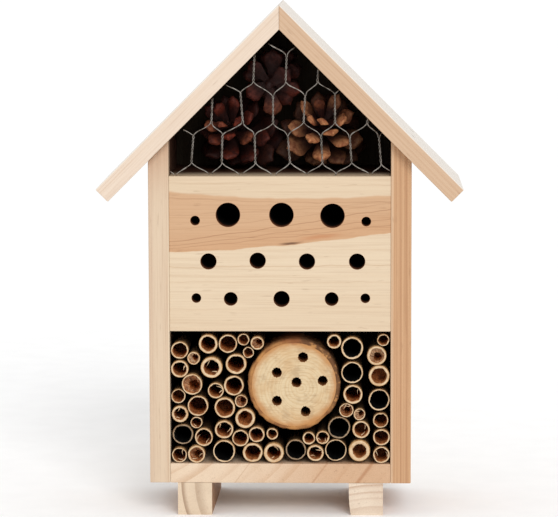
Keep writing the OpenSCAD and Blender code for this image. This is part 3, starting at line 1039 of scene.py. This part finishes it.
def cone_scale(bm, layers, tone_and_light, root, out, up, length, half_width, rng):
    """One woody scale: narrow at its root, broad and thick at its tip, with a blunt spine below"""
    side = up.cross(out)
    roll = rng.uniform(-0.25, 0.25)
    side, up = rolled(side, up, roll)
    steps, lanes = 12, 9
    cup, seed = rng.uniform(0.05, 0.22), rng.uniform(0, 99)
    shade = min(1.0, max(0.0, tone_and_light + rng.uniform(-0.3, 0.3)))
    sheets = []
    for face in (1, -1):
        rows = []
        for i in range(steps):
            u = i / (steps - 1)
            width = 0.36 + 0.64 * min(1.0, u / 0.72) ** 1.3
            if u > 0.72:
                width *= math.sqrt(max(0.0, 1 - ((u - 0.72) / 0.285) ** 2.6))
            thick = (0.7 + 2.4 * min(1.0, max(0.0, (u - 0.4) / 0.4)) ** 1.5) * MM
            thick *= math.sqrt(max(0.0, 1 - max(0.0, (u - 0.82) / 0.183) ** 2))
            row = []
            for j in range(lanes):
                v = 2 * j / (lanes - 1) - 1
                edge = math.sqrt(max(0.0, 1 - v * v * 0.97))
                lift = -cup * half_width * v * v * u + 0.08 * length * u * u
                lift += 0.35 * MM * noise.noise(Vector((u * 3 + seed, v * 2, 0)))
                lift += 0.22 * MM * noise.noise(Vector((u * 10 + seed, v * 7, face)))
                spine = 1.1 * MM * math.exp(-((u - 0.86) / 0.09) ** 2 - (v / 0.3) ** 2)
                ragged = 1 + 0.12 * noise.noise(Vector((u * 5, seed, v)))
                reach = 1 - 0.07 * v * v + 0.05 * noise.noise(Vector((v * 3, seed, 2)))
                point = root + out * (u * length * reach)
                point += side * (v * width * half_width * ragged)
                point += up * (lift + face * (thick * edge / 2) - (spine if face < 0 else 0.0))
                vert = bm.verts.new(point)
                vert[layers[0]] = u
                vert[layers[1]] = shade
                row.append(vert)
            rows.append(row)
        sheets.append(rows)
    top, under = sheets
    for i in range(steps - 1):
        for j in range(lanes - 1):
            bm.faces.new((top[i][j], top[i][j + 1], top[i + 1][j + 1], top[i + 1][j]))
            bm.faces.new((under[i][j], under[i + 1][j], under[i + 1][j + 1], under[i][j + 1]))
        for j, flip in ((0, False), (lanes - 1, True)):
            quad = (top[i][j], top[i + 1][j], under[i + 1][j], under[i][j])
            bm.faces.new(quad[::-1] if flip else quad)
    for i in (0, steps - 1):
        for j in range(lanes - 1):
            bm.faces.new((top[i][j], under[i][j], under[i][j + 1], top[i][j + 1]))


def pine_cones():
    material = cone_scales()
    for number, (node, (tip_front, tone_and_light, lean, count)) in enumerate(CONES.items()):
        rng = random.Random(60 + number)
        low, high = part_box(node)
        middle = (low + high) / 2
        widest = (high.x - low.x) / 2
        length = 0.8 * (high.y - low.y)
        axis = ((-Y if tip_front else Y) + X * lean[0] + Z * lean[1]).normalized()
        base = middle - axis * length * 0.5 - Z * 0.06 * widest
        bm = bmesh.new()
        layers = [bm.verts.layers.float.new(name) for name in ("along", "tone_and_light")]
        across = axis.orthogonal().normalized()
        third = axis.cross(across)
        core = []
        for k in range(9):
            t = k / 8
            r = widest * (0.1 + 0.16 * sin(math.pi * min(1, t * 1.1) ** 0.8)) * (1 - 0.75 * t)
            core.append(hoop(base + axis * (t * length * 0.85), r, across, third, 14))
        lathe(bm, core)
        for k in range(count):
            t = (k + 0.5) / count
            turn = k * GOLDEN_ANGLE + rng.uniform(-0.15, 0.15)
            radial = across * cos(turn) + third * sin(turn)
            angle = math.radians(-8 + 34 * t + 44 * t ** 4 + rng.uniform(-9, 9))
            out = radial * cos(angle) + axis * sin(angle)
            up = axis * cos(angle) - radial * sin(angle)
            root = base + axis * (length * (0.06 + 0.76 * t)) + radial * (widest * 0.06)
            reach = widest * (1.12 - 0.5 * t ** 1.6) * rng.uniform(0.92, 1.05)
            half_width = widest * (0.33 - 0.17 * t) * rng.uniform(0.9, 1.15)
            side = up.cross(out)
            while reach > 0.2 * widest and not all(
                    in_attic(root + out * reach + side * (w * half_width) + up * (h * MM), low, high)
                    for w in (-0.8, 0, 0.8) for h in (-1.3, 1.3)):
                reach *= 0.97
            if reach > 0.3 * widest:
                # painted light: lower scales painted paler and upper ones darker
                cone_scale(bm, layers, tone_and_light - 0.25 * radial.z, root, out, up, reach,
                           half_width * (0.55 + 0.45 * reach / widest), rng)
        mesh = mesh_of(node, bm, smooth=True)
        piece(node.replace("pine_cone", "open_cone"), mesh, [node], [material])


# ---- the scene


def nails():
    steel = metal("nail_steel", rgb(150, 146, 140), rgb(92, 84, 78), 0.35)
    for name in NAILS:
        for slot in NODES[name].material_slots:
            slot.material = steel


def stage():
    size = 40.0
    bm = bmesh.new()
    bmesh.ops.create_grid(bm, x_segments=4, y_segments=4, size=size)
    floor = linked("floor", mesh_of("floor", bm, paper_floor()))
    world = bpy.data.worlds.new("studio")
    world.use_nodes = True
    background = world.node_tree.nodes["Background"]
    background.inputs["Color"].default_value = (1, 1, 1, 1)
    background.inputs["Strength"].default_value = 0.86
    bpy.context.scene.world = world
    bpy.context.scene.view_settings.view_transform = "Standard"


def direction(azimuth, elevation):
    """From the house towards a place this far round to the right and this far up"""
    level = cos(elevation)
    return Vector((sin(azimuth) * level, -cos(azimuth) * level, sin(elevation)))


def sun():
    """A broad, soft sun, to the right and above"""
    light = bpy.data.lights.new("key", "SUN")
    light.energy = 1.35
    light.angle = math.radians(26)
    towards = direction(math.radians(16), math.radians(30))
    linked("key", light).rotation_euler = towards.to_track_quat("Z", "Y").to_euler()


def camera():
    """The photograph's view: a long lens, a little to the right and above"""
    azimuth, elevation, roll = math.radians(1.7), math.radians(7.0), math.radians(-0.13)
    distance, target = 1.75, Vector((-0.0005, FRONT_Y, 0.1589))
    back = direction(azimuth, elevation)
    right = Z.cross(back).normalized()
    right, up = rolled(right, back.cross(right), roll)
    lens = bpy.data.cameras.new("camera")
    lens.lens = 185.66
    lens.clip_end = 200
    obj = linked("camera", lens)
    turn = Matrix((right, up, back)).transposed().to_4x4()
    obj.matrix_world = Matrix.Translation(target + back * distance) @ turn
    bpy.context.scene.camera = obj


side_panels()
roof_boards()
bottom_and_back()
feet()
drilled_block()
log()
canes()
netting()
pine_cones()
nails()
stage()
sun()
camera()
